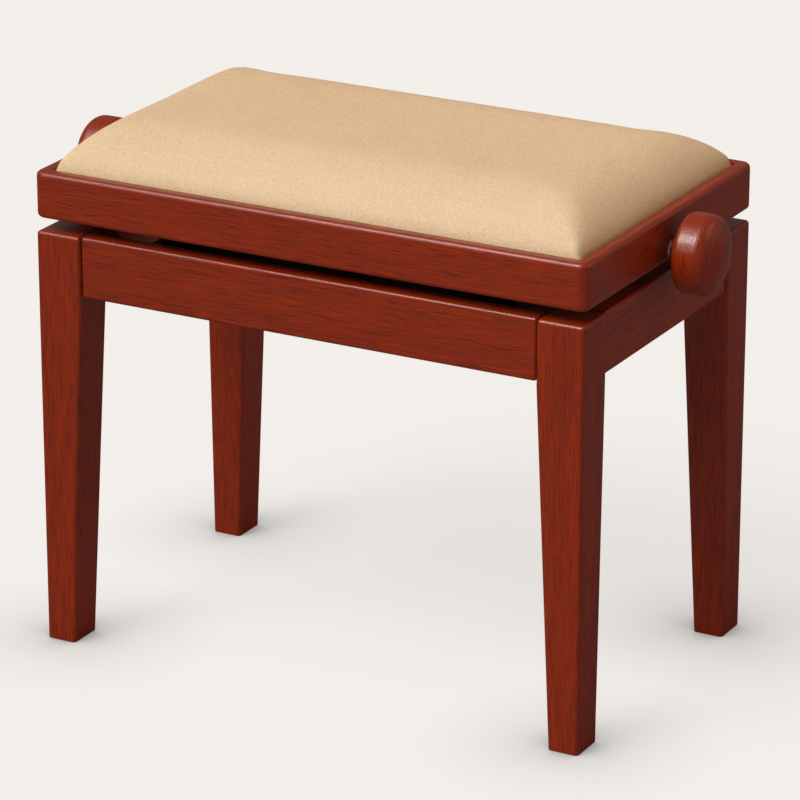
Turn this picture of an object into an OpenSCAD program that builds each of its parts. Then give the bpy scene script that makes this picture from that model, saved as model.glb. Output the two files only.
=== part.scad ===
// Height-adjustable piano bench.
// A wooden seat frame with a padded top stands on a four-legged base. A steel scissor
// under the seat is driven by a threaded spindle, with a turned wooden knob at each end.
// +Z is up, the front of the bench faces -Y, and the origin lies on the floor in the middle.

/* [Seat frame] */
// Length of the seat frame, left to right
seat_w = 560; // [550:1:580]
// Depth of the seat frame and the base, front to back
seat_d = 341; // [336:1:360]
// Height of the seat frame rails
seat_h = 44; // [43:1:48]
// Thickness of the seat frame rails
seat_rail_t = 20; // [18:1:22]
// Width of the lip left round the cushion
lip_w = 12.5; // [11:0.5:14]
// Radius of the seat frame's upright corners
seat_corner_r = 8; // [4:1:10]
// Gap between the base and the seat frame as shown
seat_gap = 12; // [11:1:30]

/* [Cushion] */
// Thickness of the plywood seat board
board_t = 10; // [8:1:12]
// Height of the cushion's crown above the seat frame
crown_h = 50; // [40:1:55]
// Height of the cushion's upright edge above the seat frame
edge_h = 9; // [4:1:12]
// Thickness of the woven cover
cover_t = 1.2; // [0.8:0.1:2]
// Distance over which the cushion's crown rises at its left and right ends
end_rise = 80; // [60:5:150]
// Distance over which the cushion's crown rises at its front and back
side_rise = 125; // [80:5:145]

/* [Base] */
// Length of the base over the legs
base_w = 556; // [550:1:558]
// Height of the legs
base_h = 402; // [395:1:420]
// Width of a leg at the top
leg_top_w = 46; // [44:1:50]
// Width of a leg at the foot, left to right
leg_foot_w = 30; // [26:1:40]
// Depth of a leg at the foot, front to back
leg_foot_d = 38; // [26:1:42]
// Height of the aprons between the legs
apron_h = 58; // [56:1:64]
// Thickness of the aprons
apron_t = 20; // [18:1:22]
// Distance of the aprons behind the faces of the legs
apron_setback = 2; // [1:0.5:3]

/* [Scissor lift] */
// Length of a scissor arm between its end pivots
arm_len = 300; // [290:1:302]
// Height of a scissor arm's bar
arm_bar_w = 20; // [18:1:22]
// Thickness of the arms
arm_t = 4; // [3:0.5:4]
// Height of the lower pivots above the underside of the aprons
low_pivot_up = 32; // [30:1:33]
// Distance of the steel rails from the middle, front and back
rail_y = 106; // [105:0.5:107]

/* [Spindle and knobs] */
// Diameter of the threaded spindle
spindle_d = 12; // [10:1:12]
// Height of the spindle above the underside of the seat frame
spindle_up = 9.2; // [9:0.1:11]
// Diameter of a knob
knob_d = 73.6; // [60:0.1:76]
// Depth of a knob from back to front, without its neck
knob_t = 37; // [30:1:40]
// Distance between the seat frame and the back of a knob
knob_gap = 13.5; // [12:0.5:16]

/* [Hidden] */
$fn = 64;

mahogany = "#8a2c16";
hidden_beech = "#c79a66";
plywood = "#d0ab78";
steel = "#8d9196";
zinc = "#b5b8b4";
nylon = "#e8e4da";
beige_velour = "#e6cb9c";
foam = "#efe3b4";

fit_gap = 0.05;                                 // radial clearance of pins that turn
loose_gap = 0.1;                                // radial clearance of screws and bolts
eps = 1;                                        // overshoot of cutting tools

// Heights of the main levels
apron_low_z = base_h - apron_h;
seat_low_z = base_h + seat_gap;
seat_top_z = seat_low_z + seat_h;
rabbet_depth = 14;
board_low_z = seat_top_z - rabbet_depth;
spindle_z = seat_low_z + spindle_up;
low_pivot_z = apron_low_z + low_pivot_up;

// Scissor as shown
lift_h = spindle_z - low_pivot_z;
arm_angle = asin(lift_h / arm_len);
pivot_x = arm_len * cos(arm_angle) / 2;
cross_z = (spindle_z + low_pivot_z) / 2;
slide_in = 26;                                  // travel of the sliding ends towards the middle
slide_out = 4;                                  // and away from it

// Rows across the scissor, measured from the middle outwards
inner_arm_y = rail_y - 14;
outer_arm_y = rail_y - 8;
rail_t = 3;
rail_flange = 15;
low_rail_h = 30;
high_rail_h = 38;
rail_half = pivot_x + 34;
pivot_r = 4;
shaft_r = 5;
bush_r = 7.5;
slot_r = bush_r + 0.2;

// Base joints
apron_in_y = seat_d / 2 - apron_setback - apron_t;
apron_in_x = base_w / 2 - apron_setback - apron_t;
leg_in_x = base_w / 2 - leg_top_w;
leg_in_y = seat_d / 2 - leg_top_w;
taper_z = apron_low_z - 5;
tenon_t = 10;
tenon_l = 20;
tenon_h = apron_h - 16;
batten_t = 16;
batten_w = 110;
batten_z = apron_low_z + 2;
rail_screw_x = rail_half - 19;                  // middle of a pair of screws at a lower rail's end
batten_x = leg_in_x - 1 - batten_w / 2;
block_h = 26;
block_z = batten_z + batten_t + 2;
block_leg = 42;                                 // length of a corner block along each apron, past the leg
bolt_r = 3.5;
bolt_len = 46;

// Seat board and cushion
cushion_w = seat_w - 2 * lip_w - 2;
cushion_d = seat_d - 2 * lip_w - 2;
cushion_corner_r = 6;
crown_steps = 7;                                // points of the outline from edge to crown
crown_power = 3.2;                              // how soon the crown rises: 2 is a round arch

// Screws
screw_r = 1.9;
screw_head_r = 4;
screw_head_h = 2.2;

// Knob
knob_r = knob_d / 2;
knob_back_r = 6.6;                              // rounding at the back of the rim
knob_front_r = 11;                              // rounding at the front of the rim
knob_face_r = 70;                               // radius of the domed face
knob_neck_r = 13;
knob_bore_depth = 26;
bush_flange_t = 1.6;
bush_flange_r = 9;
spindle_bush_r = 7.5;
knob_back_x = seat_w / 2 + knob_gap;
neck_x = seat_w / 2 + bush_flange_t + 0.6;

// A rectangle with round corners, centred
module rounded_rect(w, d, r) {
    square([w - 2 * r, d], center = true);
    square([w, d - 2 * r], center = true);
    for (x = [-1, 1], y = [-1, 1])
        translate([x * (w / 2 - r), y * (d / 2 - r)]) circle(r);
}

// A long hole or bar with round ends, from x1 to x2
module stadium(x1, x2, r) {
    translate([x1, -r]) square([x2 - x1, 2 * r]);
    for (x = [x1, x2]) translate([x, 0]) circle(r);
}

// Draws a flat shape in the XZ plane, from y to y + t
module upright(y, t) {
    translate([0, y + t, 0]) rotate([90, 0, 0]) linear_extrude(t) children();
}

// A cylinder along Y from y1 to y2
module rod_y(x, z, r, y1, y2, sides = $fn) {
    translate([x, y2, z]) rotate([90, 0, 0]) cylinder(r = r, h = y2 - y1, $fn = sides);
}

// A cylinder along X from x1 to x2
module rod_x(z, r, x1, x2) {
    translate([x1, 0, z]) rotate([0, 90, 0]) cylinder(r = r, h = x2 - x1);
}

// The same shape at the front and at the back
module front_and_back() {
    children();
    mirror([0, 1, 0]) children();
}

// The same shape at all four corners
module four_corners() {
    for (x = [0, 1], y = [0, 1]) mirror([x, 0, 0]) mirror([0, y, 0]) children();
}

// Base: tenons of all eight apron ends, also used to cut the mortises
module tenons() {
    mid_y = seat_d / 2 - apron_setback - apron_t / 2;
    mid_x = base_w / 2 - apron_setback - apron_t / 2;
    low = apron_low_z + (apron_h - tenon_h) / 2;
    four_corners() {
        translate([leg_in_x, mid_y - tenon_t / 2, low]) cube([tenon_l, tenon_t, tenon_h]);
        translate([mid_x - tenon_t / 2, leg_in_y, low]) cube([tenon_t, tenon_l, tenon_h]);
    }
}

// Base: bolt line through a corner block into the leg, at 45 degrees
module corner_bolt_line(r, start, length, sides = $fn) {
    inset = (block_leg - (apron_in_y - leg_in_y)) / 2;
    translate([leg_in_x - inset, leg_in_y - inset, block_z + block_h / 2])
        rotate([0, 90, 45]) translate([0, 0, start]) cylinder(r = r, h = length, $fn = sides);
}

// Base: outline of a leg seen from one side, tapered towards a foot of the given width
function leg_profile(foot) =
    [[0, 0], [foot, 0], [leg_top_w, taper_z], [leg_top_w, base_h], [0, base_h]];

// Base: a leg with its outer corner at the origin, tapered on its two inner faces
module leg_blank() {
    intersection() {
        translate([0, leg_top_w, 0]) rotate([90, 0, 0]) linear_extrude(leg_top_w)
            polygon(leg_profile(leg_foot_w));
        rotate([90, 0, 90]) linear_extrude(leg_top_w) polygon(leg_profile(leg_foot_d));
    }
}

module leg(side_x, side_y) {
    color(mahogany) difference() {
        mirror([side_x > 0 ? 1 : 0, 0, 0]) mirror([0, side_y > 0 ? 1 : 0, 0])
            translate([-base_w / 2, -seat_d / 2, 0]) leg_blank();
        tenons();
        four_corners() corner_bolt_line(bolt_r, 0, bolt_len + eps);
    }
}

module leg_front_left() { leg(-1, -1); }
module leg_front_right() { leg(1, -1); }
module leg_back_left() { leg(-1, 1); }
module leg_back_right() { leg(1, 1); }

// Base: one long apron with its two tenons
module long_apron() {
    color(mahogany) {
        translate([-leg_in_x, -apron_in_y - apron_t, apron_low_z])
            cube([2 * leg_in_x, apron_t, apron_h]);
        intersection() {
            tenons();
            translate([-base_w / 2, -apron_in_y - apron_t, apron_low_z]) cube([base_w, apron_t, apron_h]);
        }
    }
}

// Base: one short apron with its two tenons
module short_apron() {
    color(mahogany) {
        translate([-apron_in_x - apron_t, -leg_in_y, apron_low_z])
            cube([apron_t, 2 * leg_in_y, apron_h]);
        intersection() {
            tenons();
            translate([-apron_in_x - apron_t, -leg_in_y - tenon_l, apron_low_z])
                cube([apron_t, 2 * (leg_in_y + tenon_l), apron_h]);
        }
    }
}

module apron_front() { long_apron(); }
module apron_back() { mirror([0, 1, 0]) long_apron(); }
module apron_left() { short_apron(); }
module apron_right() { mirror([1, 0, 0]) short_apron(); }

// Base: wooden blocks glued into the corners, cut out round the legs
module corner_blocks() {
    outline = [
        [leg_in_x - block_leg, apron_in_y], [leg_in_x, apron_in_y], [leg_in_x, leg_in_y],
        [apron_in_x, leg_in_y], [apron_in_x, leg_in_y - block_leg]
    ];
    color(mahogany) four_corners() difference() {
        translate([0, 0, block_z]) linear_extrude(block_h) polygon(outline);
        corner_bolt_line(bolt_r, -eps, bolt_len);
    }
}

module corner_bolts() {
    washer_t = 1.6;
    head_t = 5;
    color(zinc) four_corners() {
        corner_bolt_line(bolt_r - loose_gap, -washer_t - head_t, bolt_len + washer_t + head_t);
        corner_bolt_line(9, -washer_t, washer_t);
        corner_bolt_line(6.5, -washer_t - head_t, head_t, 6);
    }
}

// Base: wide wooden battens between the long aprons, which carry the lower rails
module cross_batten(x) {
    color(mahogany) difference() {
        translate([x - batten_w / 2, -apron_in_y, batten_z]) cube([batten_w, 2 * apron_in_y, batten_t]);
        lower_rail_screw_places() translate([0, 0, -12]) cylinder(r = screw_r, h = 12 + eps);
    }
}

module cross_batten_left() { cross_batten(-batten_x); }
module cross_batten_right() { cross_batten(batten_x); }

// Scissor: places of the screws through the flanges of the lower rails, at the batten's top
module lower_rail_screw_places() {
    for (side = [-1, 1], x = [rail_screw_x - 9, rail_screw_x + 9], y = [-1, 1])
        translate([side * x, y * (rail_y + rail_t + 8), batten_z + batten_t]) children();
}

// Scissor: angle rail on the battens, with a pivot hole at the left and a slot at the right
module lower_rail() {
    low = batten_z + batten_t;
    color(steel) difference() {
        union() {
            translate([-rail_half, rail_y, low]) cube([2 * rail_half, rail_t, low_rail_h]);
            translate([-rail_half, rail_y, low]) cube([2 * rail_half, rail_t + rail_flange, rail_t]);
        }
        rod_y(-pivot_x, low_pivot_z, pivot_r + loose_gap, rail_y - eps, rail_y + rail_t + eps);
        translate([0, 0, low_pivot_z]) upright(rail_y - eps, rail_t + 2 * eps)
            stadium(pivot_x - slide_in, pivot_x + slide_out, slot_r);
        lower_rail_screw_places() translate([0, 0, -eps]) cylinder(r = screw_r + loose_gap, h = 6);
    }
}

module lower_rail_back() { lower_rail(); }
module lower_rail_front() { mirror([0, 1, 0]) lower_rail(); }

module lower_rail_screws() {
    color(zinc) lower_rail_screw_places() {
        translate([0, 0, -11]) cylinder(r = screw_r - loose_gap, h = 11 + rail_t);
        translate([0, 0, rail_t]) cylinder(r = screw_head_r, h = screw_head_h);
    }
}

// Scissor: shoulder bolt through a rail and an arm, with its nut and spacer
module pivot_bolt(z, arm_y) {
    side_gap = 0.2;
    nut_t = 5;
    rod_y(-pivot_x, z, pivot_r, arm_y - nut_t - side_gap, rail_y + rail_t + 5);
    rod_y(-pivot_x, z, 7, arm_y - nut_t - side_gap, arm_y - side_gap, 6);
    rod_y(-pivot_x, z, 7, arm_y + arm_t + side_gap, rail_y);
    rod_y(-pivot_x, z, 7, rail_y + rail_t, rail_y + rail_t + 5, 6);
}

module lower_pivot_bolts() { color(zinc) front_and_back() pivot_bolt(low_pivot_z, inner_arm_y); }
module upper_pivot_bolts() { color(zinc) front_and_back() pivot_bolt(spindle_z, outer_arm_y); }

// Scissor: flat bar with round ends and three bores, centred on its middle pivot
module arm_bar(y, tilt, left_r, right_r) {
    translate([0, 0, cross_z]) rotate([0, tilt, 0]) upright(y, arm_t) difference() {
        stadium(-arm_len / 2, arm_len / 2, arm_bar_w / 2);
        translate([-arm_len / 2, 0]) circle(left_r);
        circle(pivot_r + fit_gap);
        translate([arm_len / 2, 0]) circle(right_r);
    }
}

// Inner arms run up from the left pivot on the base to the sliding nut at the right
module inner_arm() {
    color(steel) arm_bar(inner_arm_y, -arm_angle, pivot_r + fit_gap, shaft_r + fit_gap);
}

// Outer arms run down from the left pivot under the seat to the sliding shaft at the right
module outer_arm() {
    color(steel) arm_bar(outer_arm_y, arm_angle, pivot_r + fit_gap, shaft_r + fit_gap);
}

module inner_arm_back() { inner_arm(); }
module inner_arm_front() { mirror([0, 1, 0]) inner_arm(); }
module outer_arm_back() { outer_arm(); }
module outer_arm_front() { mirror([0, 1, 0]) outer_arm(); }

module centre_rivets() {
    head_t = 3;
    side_gap = 0.2;
    color(zinc) front_and_back() {
        rod_y(0, cross_z, pivot_r, inner_arm_y - head_t, outer_arm_y + arm_t + side_gap + head_t);
        rod_y(0, cross_z, 7.5, inner_arm_y - head_t, inner_arm_y);
        rod_y(0, cross_z, 8, inner_arm_y + arm_t, outer_arm_y - side_gap);
        rod_y(0, cross_z, 7.5, outer_arm_y + arm_t + side_gap, outer_arm_y + arm_t + side_gap + head_t);
    }
}

// Scissor: tube that ties the two inner arms together
module arm_tie() {
    reach = 72;
    color(steel) rod_y(
        reach * cos(arm_angle) - pivot_x, low_pivot_z + reach * sin(arm_angle),
        6, -inner_arm_y, inner_arm_y
    );
}

module lower_slide_shaft() {
    end_y = rail_y + rail_t + 4;
    color(zinc) {
        rod_y(pivot_x, low_pivot_z, shaft_r, -end_y, end_y);
        front_and_back() rod_y(pivot_x, low_pivot_z, 7, outer_arm_y - 3, outer_arm_y);
    }
}

// Scissor: nylon bushes that slide in the slots of the rails
module slide_bushes(z) {
    color(nylon) front_and_back() difference() {
        rod_y(pivot_x, z, bush_r, rail_y - 2, rail_y + rail_t + 3);
        rod_y(pivot_x, z, shaft_r, rail_y - 3, rail_y + rail_t + 4);
    }
}

module lower_slide_bushes() { slide_bushes(low_pivot_z); }
module upper_slide_bushes() { slide_bushes(spindle_z); }

// Scissor: cross shaft between the inner arms, with the spindle's thread in its thick middle
module cross_nut() {
    end_y = rail_y + rail_t + 4;
    barrel_r = 14;
    color(zinc) difference() {
        union() {
            rod_y(pivot_x, spindle_z, shaft_r, -end_y, end_y);
            rod_y(pivot_x, spindle_z, 9, 1 - inner_arm_y, inner_arm_y - 1);
            rod_y(pivot_x, spindle_z, barrel_r, -15, 15);
        }
        rod_x(spindle_z, spindle_d / 2 + loose_gap, pivot_x - 20, pivot_x + 20);
    }
}

// Seat frame: all four rails in one, with the ledge that carries the seat board
module seat_frame_blank() {
    difference() {
        translate([0, 0, seat_low_z]) linear_extrude(seat_h) rounded_rect(seat_w, seat_d, seat_corner_r);
        translate([0, 0, seat_top_z]) cube(
            [seat_w - 2 * lip_w, seat_d - 2 * lip_w, 2 * rabbet_depth], center = true
        );
        translate([0, 0, seat_top_z]) cube(
            [seat_w - 2 * seat_rail_t, seat_d - 2 * seat_rail_t, 4 * seat_h], center = true
        );
        for (side = [0, 1]) mirror([side, 0, 0])
            rod_x(spindle_z, spindle_bush_r + fit_gap, seat_w / 2 - seat_rail_t - eps, seat_w / 2 + eps);
    }
}

// Seat frame: the part of the frame between two mitres
module front_mitre() {
    x = seat_w / 2;
    y = -seat_d / 2;
    translate([0, 0, seat_low_z - eps]) linear_extrude(seat_h + 2 * eps) polygon(
        [[-x, y], [x, y], [x - seat_rail_t, y + seat_rail_t], [seat_rail_t - x, y + seat_rail_t]]
    );
}

module left_mitre() {
    x = -seat_w / 2;
    y = seat_d / 2;
    translate([0, 0, seat_low_z - eps]) linear_extrude(seat_h + 2 * eps) polygon(
        [[x, -y], [x + seat_rail_t, seat_rail_t - y], [x + seat_rail_t, y - seat_rail_t], [x, y]]
    );
}

module seat_rail_front() { color(mahogany) intersection() { seat_frame_blank(); front_mitre(); } }
module seat_rail_back() { mirror([0, 1, 0]) seat_rail_front(); }
module seat_rail_left() { color(mahogany) intersection() { seat_frame_blank(); left_mitre(); } }
module seat_rail_right() { mirror([1, 0, 0]) seat_rail_left(); }

// Seat frame: blocks in the corners, and the screws that hold the seat board down
module seat_screw_places() {
    low = board_low_z - 24;
    four_corners()
        translate([seat_w / 2 - seat_rail_t - 13, seat_d / 2 - seat_rail_t - 13, low]) children();
}

module seat_corner_blocks() {
    x = seat_w / 2 - seat_rail_t;
    y = seat_d / 2 - seat_rail_t;
    leg_l = 45;
    color(hidden_beech) difference() {
        four_corners() translate([0, 0, board_low_z - 24]) linear_extrude(24)
            polygon([[x, y], [x - leg_l, y], [x, y - leg_l]]);
        seat_screw_places() translate([0, 0, -eps]) cylinder(r = screw_r, h = 40);
    }
}

module seat_board_screws() {
    color(zinc) seat_screw_places() {
        cylinder(r = screw_r - loose_gap, h = 30);
        translate([0, 0, -screw_head_h]) cylinder(r = screw_head_r, h = screw_head_h);
    }
}

// Scissor: places of the screws through the flanges of the upper rails, at the board's underside
module upper_rail_screw_places() {
    for (x = [-150, -60, 60, 150], y = [-1, 1])
        translate([x, y * (rail_y + rail_t + 8), board_low_z]) children();
}

module seat_board() {
    color(plywood) difference() {
        translate([0, 0, board_low_z]) linear_extrude(board_t)
            rounded_rect(cushion_w - 2 * cover_t, cushion_d - 2 * cover_t, cushion_corner_r);
        seat_screw_places() cylinder(r = screw_r, h = 24 + 7);
        upper_rail_screw_places() translate([0, 0, -eps]) cylinder(r = screw_r, h = 7 + eps);
    }
}

// Cushion: a point of the crowned outline, from its upright edge at i = 0 to its top
function crown_point(half_l, rise, shrink, i) =
    let (s = pow(i / crown_steps, 2))
    [
        half_l - shrink - s * rise,
        seat_top_z + edge_h + (crown_h - edge_h) * (1 - pow(1 - s, crown_power)) - shrink
    ];

// Cushion: crowned outline seen from one side, half_l long each way
module crown_outline(half_l, rise, shrink, low) {
    right = [for (i = [0 : crown_steps]) crown_point(half_l, rise, shrink, i)];
    left = [for (i = [crown_steps : -1 : 0]) [-right[i][0], right[i][1]]];
    polygon(concat([[half_l - shrink, low]], right, left, [[shrink - half_l, low]]));
}

// Cushion: crowned block, smaller on all sides and at the top by shrink
module cushion_form(shrink, low) {
    w = cushion_w - 2 * shrink;
    d = cushion_d - 2 * shrink;
    intersection() {
        translate([0, 0, low]) linear_extrude(seat_h + crown_h) rounded_rect(w, d, cushion_corner_r);
        translate([0, d, 0]) rotate([90, 0, 0]) linear_extrude(2 * d)
            crown_outline(cushion_w / 2, end_rise, shrink, low);
        translate([-w, 0, 0]) rotate([90, 0, 90]) linear_extrude(2 * w)
            crown_outline(cushion_d / 2, side_rise, shrink, low);
    }
}

module foam_pad() { color(foam) cushion_form(cover_t, board_low_z + board_t); }

module seat_cover() {
    color(beige_velour) difference() {
        cushion_form(0, board_low_z);
        cushion_form(cover_t, board_low_z - eps);
    }
}

// Scissor: angle rail under the seat board, with a pivot hole at the left and a slot at the right
module upper_rail() {
    color(steel) difference() {
        union() {
            translate([-rail_half, rail_y, board_low_z - high_rail_h])
                cube([2 * rail_half, rail_t, high_rail_h]);
            translate([-rail_half, rail_y, board_low_z - rail_t])
                cube([2 * rail_half, rail_t + rail_flange, rail_t]);
        }
        rod_y(-pivot_x, spindle_z, pivot_r + loose_gap, rail_y - eps, rail_y + rail_t + eps);
        translate([0, 0, spindle_z]) upright(rail_y - eps, rail_t + 2 * eps)
            stadium(pivot_x - slide_in, pivot_x + slide_out, slot_r);
        upper_rail_screw_places() translate([0, 0, -5]) cylinder(r = screw_r + loose_gap, h = 6);
    }
}

module upper_rail_back() { upper_rail(); }
module upper_rail_front() { mirror([0, 1, 0]) upper_rail(); }

module upper_rail_screws() {
    color(zinc) upper_rail_screw_places() {
        translate([0, 0, -rail_t]) cylinder(r = screw_r - loose_gap, h = 6.5 + rail_t);
        translate([0, 0, -rail_t - screw_head_h]) cylinder(r = screw_head_r, h = screw_head_h);
    }
}

// The same shape at the left and at the right
module left_and_right() {
    children();
    mirror([1, 0, 0]) children();
}

// Spindle: flanged nylon bushes in the short seat rails
module spindle_bushes() {
    color(nylon) left_and_right() difference() {
        union() {
            rod_x(spindle_z, spindle_bush_r, seat_w / 2 - seat_rail_t, seat_w / 2);
            rod_x(spindle_z, bush_flange_r, seat_w / 2, seat_w / 2 + bush_flange_t);
        }
        rod_x(spindle_z, spindle_d / 2 + fit_gap, seat_w / 2 - seat_rail_t - eps, seat_w / 2 + 2 * eps);
    }
}

module spindle() {
    half = neck_x + knob_bore_depth - 0.5;
    color(zinc) rod_x(spindle_z, spindle_d / 2, -half, half);
}

module spindle_collars() {
    x = seat_w / 2 - seat_rail_t - 0.5;
    color(zinc) left_and_right() difference() {
        rod_x(spindle_z, 11, x - 11, x);
        rod_x(spindle_z, spindle_d / 2, x - 12, x + eps);
    }
}

// Points of an arc round [cx, cy]
function arc(cx, cy, r, a1, a2, steps) =
    [for (i = [0 : steps]) let (a = a1 + (a2 - a1) * i / steps) [cx + r * cos(a), cy + r * sin(a)]];

// Spindle: turned wooden knob with a neck, a round rim and a gently domed face
module knob_right() {
    front_z = knob_t - knob_face_r + sqrt(
        pow(knob_face_r - knob_front_r, 2) - pow(knob_r - knob_front_r, 2)
    );
    dome_a = acos((knob_r - knob_front_r) / (knob_face_r - knob_front_r));
    outline = concat(
        [[0, neck_x - knob_back_x], [knob_neck_r, neck_x - knob_back_x], [knob_neck_r, 0]],
        arc(knob_r - knob_back_r, knob_back_r, knob_back_r, -90, 0, 8),
        arc(knob_r - knob_front_r, front_z, knob_front_r, 0, dome_a, 10),
        arc(0, knob_t - knob_face_r, knob_face_r, dome_a, 90, 10)
    );
    color(mahogany) difference() {
        translate([knob_back_x, 0, spindle_z]) rotate([0, 90, 0]) rotate_extrude() polygon(outline);
        rod_x(spindle_z, spindle_d / 2, neck_x - eps, neck_x + knob_bore_depth);
        grub_screw(eps);
    }
}

module knob_left() { mirror([1, 0, 0]) knob_right(); }

// Spindle: screw through the knob's neck, longer at its outer end by extra
module grub_screw(extra) {
    translate([(neck_x + knob_back_x) / 2, 0, spindle_z + spindle_d / 2])
        cylinder(r = 2.5, h = knob_neck_r - spindle_d / 2 - 1 + 2 * extra);
}

module knob_grub_screws() { color(zinc) left_and_right() grub_screw(0); }

leg_front_left();
leg_front_right();
leg_back_left();
leg_back_right();
apron_front();
apron_back();
apron_left();
apron_right();
corner_blocks();
corner_bolts();
cross_batten_left();
cross_batten_right();
lower_rail_front();
lower_rail_back();
lower_rail_screws();
lower_pivot_bolts();
inner_arm_front();
inner_arm_back();
centre_rivets();
arm_tie();
outer_arm_front();
outer_arm_back();
lower_slide_shaft();
lower_slide_bushes();
cross_nut();
upper_slide_bushes();
seat_rail_front();
seat_rail_back();
seat_rail_left();
seat_rail_right();
seat_corner_blocks();
seat_board();
seat_board_screws();
foam_pad();
seat_cover();
upper_rail_front();
upper_rail_back();
upper_rail_screws();
upper_pivot_bolts();
spindle_bushes();
spindle();
spindle_collars();
knob_left();
knob_right();
knob_grub_screws();
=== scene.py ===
import math

import bmesh
import bpy
from mathutils import Matrix, Vector


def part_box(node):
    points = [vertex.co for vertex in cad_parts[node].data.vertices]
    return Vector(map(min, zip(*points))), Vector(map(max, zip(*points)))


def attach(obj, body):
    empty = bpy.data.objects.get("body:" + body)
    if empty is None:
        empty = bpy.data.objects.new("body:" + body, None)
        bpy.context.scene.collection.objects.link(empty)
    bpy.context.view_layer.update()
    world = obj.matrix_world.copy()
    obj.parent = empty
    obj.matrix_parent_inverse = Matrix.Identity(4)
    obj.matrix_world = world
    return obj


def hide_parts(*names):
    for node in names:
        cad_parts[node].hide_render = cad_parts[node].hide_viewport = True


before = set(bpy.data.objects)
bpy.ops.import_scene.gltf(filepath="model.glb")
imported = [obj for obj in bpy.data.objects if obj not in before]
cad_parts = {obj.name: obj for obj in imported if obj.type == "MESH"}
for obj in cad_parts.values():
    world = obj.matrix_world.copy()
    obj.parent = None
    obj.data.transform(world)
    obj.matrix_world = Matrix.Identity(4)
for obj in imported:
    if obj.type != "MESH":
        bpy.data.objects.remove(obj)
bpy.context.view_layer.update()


# ------------------------------------------------------------------ legs
# Four solid legs, sawn square and tapered on their two inner faces. Every edge is sanded
# round, and the wood is stained mahogany red under a satin lacquer.

LEG_EDGE = 0.0036
FOOT_EDGE = 0.0010
EDGE_STEPS = 4
TAPER_DROP = 0.005      # the taper starts this far under the aprons
SHARP_ANGLE = math.radians(28)
MERGE_REACH = 1e-6
ON_LEVEL = 1e-5


def make_node(tree, kind, inputs=None, **settings):
    """Adds a shader node, sets its properties, and links or fills its inputs."""
    node = tree.nodes.new(kind)
    for key, value in settings.items():
        setattr(node, key, value)
    for key, value in (inputs or {}).items():
        if isinstance(value, bpy.types.NodeSocket):
            tree.links.new(value, node.inputs[key])
        else:
            node.inputs[key].default_value = value
    return node


def make_group(name, inputs, outputs):
    """A node group with named inputs and outputs; gives the tree and its two end nodes."""
    tree = bpy.data.node_groups.new(name, "ShaderNodeTree")
    for label, kind, default in inputs:
        socket = tree.interface.new_socket(label, in_out="INPUT", socket_type=kind)
        if default is not None:
            socket.default_value = default
    for label, kind in outputs:
        tree.interface.new_socket(label, in_out="OUTPUT", socket_type=kind)
    return tree, tree.nodes.new("NodeGroupInput"), tree.nodes.new("NodeGroupOutput")


def place_group(tree, group, inputs):
    return make_node(tree, "ShaderNodeGroup", inputs, node_tree=group)


def noise(tree, vector, stretch, detail=3.0, rough=0.55, distortion=0.0):
    """Noise over a vector that is first stretched differently along its three axes."""
    mapped = make_node(tree, "ShaderNodeMapping", {"Vector": vector, "Scale": stretch})
    inputs = {"Vector": mapped.outputs[0], "Scale": 1.0, "Detail": detail, "Roughness": rough,
              "Distortion": distortion}
    return make_node(tree, "ShaderNodeTexNoise", inputs).outputs["Fac"]


def ramp(tree, value, low, high, to_low=0.0, to_high=1.0):
    inputs = {"Value": value, "From Min": low, "From Max": high, "To Min": to_low, "To Max": to_high}
    return make_node(tree, "ShaderNodeMapRange", inputs).outputs[0]


def math_node(tree, operation, first, second, third=0.0):
    inputs = {0: first, 1: second, 2: third}
    return make_node(tree, "ShaderNodeMath", inputs, operation=operation).outputs[0]


def mix_colours(tree, factor, first, second):
    inputs = {0: factor, 6: first, 7: second}
    return make_node(tree, "ShaderNodeMix", inputs, data_type="RGBA").outputs[2]


def wood_grain_group():
    """Long fibres along Z: soft bands, fine streaks and short open pores."""
    tree, start, end = make_group(
        "Wood grain", [("Vector", "NodeSocketVector", None), ("Fineness", "NodeSocketFloat", 1.0)],
        [("Tone", "NodeSocketFloat"), ("Pores", "NodeSocketFloat"), ("Height", "NodeSocketFloat")])
    scaled = make_node(tree, "ShaderNodeVectorMath", {0: start.outputs[0]}, operation="SCALE")
    tree.links.new(start.outputs[1], scaled.inputs["Scale"])
    vector = scaled.outputs[0]
    bands = noise(tree, vector, (60, 60, 3.5), 2.0, 0.5, 0.5)
    streaks = noise(tree, vector, (560, 560, 24), 2.0, 0.55, 0.3)
    fibres = noise(tree, vector, (1150, 1150, 46), 2.0, 0.6)
    pores = ramp(tree, noise(tree, vector, (800, 800, 40), 1.0, 0.5), 0.55, 0.68)
    bands = ramp(tree, bands, 0.30, 0.70)
    streaks = ramp(tree, streaks, 0.34, 0.66)
    fibres = ramp(tree, fibres, 0.30, 0.70)
    tone = math_node(tree, "MULTIPLY", bands, 0.22)
    tone = math_node(tree, "MULTIPLY_ADD", streaks, 0.40, tone)
    tone = math_node(tree, "MULTIPLY_ADD", fibres, 0.38, tone)
    height = math_node(tree, "SUBTRACT", math_node(tree, "MULTIPLY", tone, 0.45), pores)
    for source, label in ((tone, "Tone"), (pores, "Pores"), (height, "Height")):
        tree.links.new(source, end.inputs[label])
    return tree


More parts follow.
